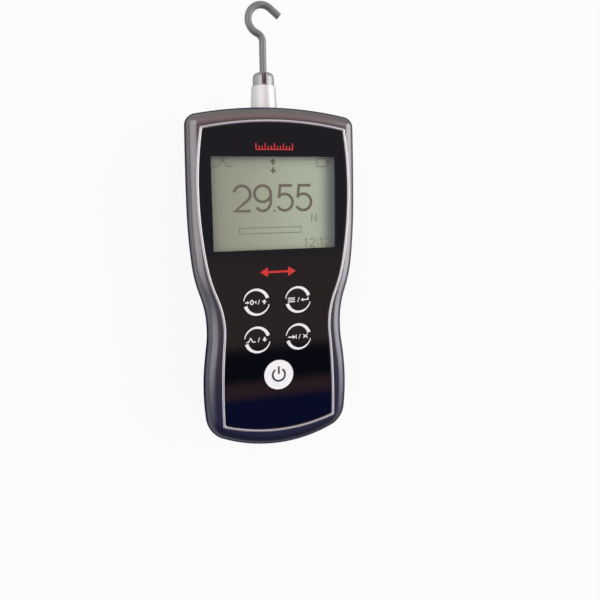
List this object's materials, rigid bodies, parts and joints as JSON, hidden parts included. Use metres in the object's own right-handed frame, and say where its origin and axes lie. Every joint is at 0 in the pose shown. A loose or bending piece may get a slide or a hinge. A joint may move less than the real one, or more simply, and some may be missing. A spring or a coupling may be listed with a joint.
{
  "type": "force gauge",
  "caption": "Hand-held digital force gauge: waisted housing, glossy front panel with display and keys, load shaft with bent-wire hook.",
  "frame": {"origin": "on the flat back, at the centre of the four threaded stand holes", "axes": "+X to the gauge's right seen from the front, +Y along the load axis towards the hook, +Z out of the display"},
  "size_m": [0.0734, 0.1907, 0.033],
  "materials": {
    "housing": "smooth satin dark grey paint",
    "bright_trim": "polished",
    "panel": "glossy black",
    "clear": "clear",
    "white_key": "glossy white",
    "steel": "zinc plated",
    "lcd": "grey-green, matt",
    "diffuser": "milky",
    "strip_rubber": "matt",
    "board": "green solder mask",
    "chip": "matt black",
    "aluminium": "machined",
    "foil": "amber film",
    "brass": "machined",
    "nickel": "bright plated",
    "wire_steel": "satin",
    "seal_rubber": "matt",
    "tray": "moulded black",
    "cell_sleeve": "green sleeve",
    "foam": "open cell",
    "socket": "moulded black",
    "plug": "ivory",
    "lead": "insulated",
    "plunger": "moulded"
  },
  "bodies": {
    "case": {"anchor_block": "aluminium", "anchor_bolt": "steel", "anchor_screws": "steel", "battery_cells": "cell_sleeve", "battery_leads": "lead", "battery_pad": "foam", "battery_plug": "plug", "battery_tray": "tray", "board_screws": "steel", "buzzer": "chip", "case_screws": "steel", "chassis_plate": "steel", "converter_chip": "chip", "data_socket": "socket", "display_window": "clear", "dust_seal": "seal_rubber", "front_housing": "housing", "front_panel": "panel", "lcd_backlight": "diffuser", "lcd_contact_strips": "strip_rubber", "lcd_frame": "steel", "lcd_glass": "lcd", "load_cell": "aluminium", "main_board": "board", "nose_sleeve": "nickel", "panel_trim": "bright_trim", "plate_screws": "steel", "power_socket": "socket", "processor_chip": "chip", "rear_housing": "housing", "sensor_leads": "lead", "sensor_plug": "plug", "stand_bushes": "brass", "strain_gauges": "foil", "switch_bodies": "chip"},
    "zero_key": {"key_zero": "panel", "plunger_zero": "plunger"},
    "menu_key": {"key_menu": "panel", "plunger_menu": "plunger"},
    "peak_key": {"key_peak": "panel", "plunger_peak": "plunger"},
    "send_key": {"key_send": "panel", "plunger_send": "plunger"},
    "power_key": {"key_power": "white_key", "plunger_power": "plunger"},
    "load_line": {"load_shaft": "steel", "lock_nut": "steel", "hook_collet": "nickel"},
    "hook": {"hook": "wire_steel"}
  },
  "joints": [
    {"name": "zero_press", "type": "slide", "parent": "case", "child": "zero_key", "axis": [0, 0, -1], "range_m": [0, 0.0004], "stiffness_N_per_m": 4000},
    {"name": "menu_press", "type": "slide", "parent": "case", "child": "menu_key", "axis": [0, 0, -1], "range_m": [0, 0.0004], "stiffness_N_per_m": 4000},
    {"name": "peak_press", "type": "slide", "parent": "case", "child": "peak_key", "axis": [0, 0, -1], "range_m": [0, 0.0004], "stiffness_N_per_m": 4000},
    {"name": "send_press", "type": "slide", "parent": "case", "child": "send_key", "axis": [0, 0, -1], "range_m": [0, 0.0004], "stiffness_N_per_m": 4000},
    {"name": "power_press", "type": "slide", "parent": "case", "child": "power_key", "axis": [0, 0, -1], "range_m": [0, 0.0004], "stiffness_N_per_m": 4000},
    {"name": "load_slide", "type": "slide", "parent": "case", "child": "load_line", "axis": [0, 1, 0], "range_m": [-0.0003, 0.0003], "stiffness_N_per_m": 170000, "deforming": ["load_cell"]},
    {"name": "hook_swivel", "type": "hinge", "parent": "load_line", "child": "hook", "pos_m": [0, 0.0835, 0.017], "axis": [0, 1, 0], "continuous": true}
  ]
}
